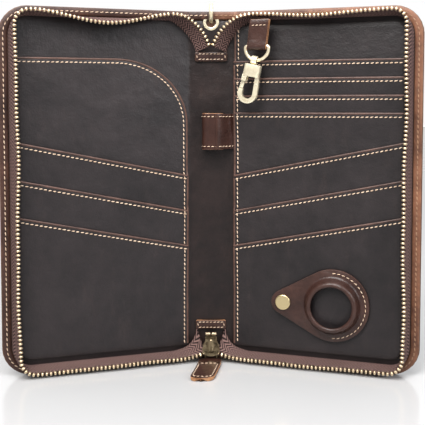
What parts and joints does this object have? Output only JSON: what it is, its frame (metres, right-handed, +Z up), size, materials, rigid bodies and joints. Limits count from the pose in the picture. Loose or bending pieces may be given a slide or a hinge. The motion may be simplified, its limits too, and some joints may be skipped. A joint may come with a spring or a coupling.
{
  "type": "travel document organizer",
  "caption": "Zip-around leather travel document organizer, standing open, with card, passport and ticket pockets, pen loop, key hook and tracker holder.",
  "frame": {"origin": "centre of the bounding box at the bottom edge that it stands on", "axes": "+X to the right across the open covers, +Y towards the spine's outside, +Z up; the open side faces -Y"},
  "size_m": [0.2488, 0.0531, 0.2256],
  "materials": {
    "cover_leather": "oiled, slightly rubbed at the edges",
    "edge_leather": "pulled-up reddish brown",
    "pocket_leather": "smooth, soft sheen",
    "spine_leather": "smooth",
    "accent_leather": "glossy, reddish brown",
    "board": "plain",
    "lining_cloth": "plain weave",
    "zip_cloth": "herringbone weave",
    "zip_brass": "antique",
    "hardware_brass": "pale antique, polished high spots",
    "snap_brass": "antique",
    "spring_steel": "plain"
  },
  "bodies": {
    "spine": {"spine_outer_leather": "cover_leather", "spine_lining": "spine_leather", "eyelet": "hardware_brass", "eyelet_washer": "hardware_brass", "top_zip_tab": "spine_leather", "bottom_zip_tab": "accent_leather", "pen_loop": "accent_leather", "zip_end_stops": "zip_brass", "left_top_zip_corner": "zip_brass", "right_top_zip_corner": "zip_brass", "left_bottom_zip_corner": "zip_brass", "right_bottom_zip_corner": "zip_brass"},
    "left_cover": {"left_outer_leather": "cover_leather", "left_stiffener_board": "board", "left_lining": "lining_cloth", "left_zip_tape": "zip_cloth", "left_zip_teeth": "zip_brass", "left_edge_strip": "edge_leather", "left_top_slot": "pocket_leather", "left_middle_slot": "pocket_leather", "left_bottom_slot": "pocket_leather", "left_document_pocket": "pocket_leather"},
    "right_cover": {"right_outer_leather": "cover_leather", "right_stiffener_board": "board", "right_lining": "lining_cloth", "right_zip_tape": "zip_cloth", "right_zip_teeth": "zip_brass", "right_edge_strip": "edge_leather", "right_top_slot": "pocket_leather", "right_middle_slot": "pocket_leather", "right_bottom_slot": "pocket_leather", "right_inner_panel": "pocket_leather", "right_card_slot_1": "pocket_leather", "right_card_slot_2": "pocket_leather", "right_card_slot_3": "pocket_leather", "right_card_slot_4": "pocket_leather", "tracker_holder_back": "accent_leather", "tracker_holder_front": "accent_leather", "snap_stud": "snap_brass"},
    "slider": {"slider_body": "zip_brass", "slider_bail": "zip_brass"},
    "pull_ring": {"pull_ring": "hardware_brass"},
    "leather_puller": {"leather_puller": "accent_leather"},
    "key_strap": {"key_strap": "accent_leather"},
    "key_strap_ring": {"key_strap_ring": "hardware_brass"},
    "swivel_eye": {"swivel_eye": "hardware_brass"},
    "snap_hook": {"snap_hook": "hardware_brass", "hook_gate_pin": "hardware_brass", "hook_gate_spring": "spring_steel"},
    "hook_gate": {"hook_gate": "hardware_brass"},
    "tracker_tab": {"tracker_holder_tab": "accent_leather", "snap_cap": "snap_brass"},
    "wrist_ring": {"wrist_ring": "hardware_brass"}
  },
  "joints": [
    {"name": "left_cover_fold", "type": "hinge", "parent": "spine", "child": "left_cover", "pos_m": [-0.0142, 0.02071, 0], "axis": [0, 0, 1], "range_deg": [-18.4, 71.6], "deforming": ["left_top_zip_corner", "left_bottom_zip_corner"]},
    {"name": "right_cover_fold", "type": "hinge", "parent": "spine", "child": "right_cover", "pos_m": [0.0142, 0.02071, 0], "axis": [0, 0, -1], "range_deg": [-18.4, 71.6], "deforming": ["right_top_zip_corner", "right_bottom_zip_corner"]},
    {"name": "slider_travel", "type": "slide", "parent": "spine", "child": "slider", "axis": [0, 0.8, 0.6], "range_m": [-0.004, 0]},
    {"name": "pull_ring_swing", "type": "hinge", "parent": "slider", "child": "pull_ring", "pos_m": [0, 0.01466, 0.0105], "axis": [1, 0, 0], "range_deg": [-8, 15]},
    {"name": "puller_swing", "type": "hinge", "parent": "pull_ring", "child": "leather_puller", "pos_m": [0, 0.01466, 0.00145], "axis": [1, 0, 0], "range_deg": [-6, 80]},
    {"name": "key_strap_swing", "type": "hinge", "parent": "right_cover", "child": "key_strap", "pos_m": [0.02781, 0.00237, 0.2116], "axis": [0.9489, -0.3156, 0], "range_deg": [-50, 0]},
    {"name": "key_ring_swing", "type": "hinge", "parent": "key_strap", "child": "key_strap_ring", "pos_m": [0.02781, 0.00237, 0.1972], "axis": [0.9489, -0.3156, 0], "range_deg": [-40, 0]},
    {"name": "hook_eye_swing", "type": "hinge", "parent": "key_strap_ring", "child": "swivel_eye", "pos_m": [0.02638, 0.00285, 0.18881], "axis": [0.9281, -0.3088, -0.2079], "range_deg": [-40, 0]},
    {"name": "hook_swivel", "type": "hinge", "parent": "swivel_eye", "child": "snap_hook", "pos_m": [0.02638, 0.00285, 0.18881], "axis": [0.1973, -0.0656, 0.9781], "continuous": true},
    {"name": "hook_gate_turn", "type": "hinge", "parent": "snap_hook", "child": "hook_gate", "pos_m": [0.02062, 0.00477, 0.17804], "axis": [0.3156, 0.9489, 0], "range_deg": [-22, 0], "stiffness_Nm_per_rad": 0.002, "springref_deg": 5.73},
    {"name": "tracker_tab_lift", "type": "hinge", "parent": "right_cover", "child": "tracker_tab", "pos_m": [0.05667, -0.00069, 0.0402], "axis": [0, 0, -1], "range_deg": [-70, 0]},
    {"name": "wrist_ring_swing", "type": "hinge", "parent": "spine", "child": "wrist_ring", "pos_m": [0, 0.02001, 0.218], "axis": [1, 0, 0], "range_deg": [-80, 80]}
  ]
}
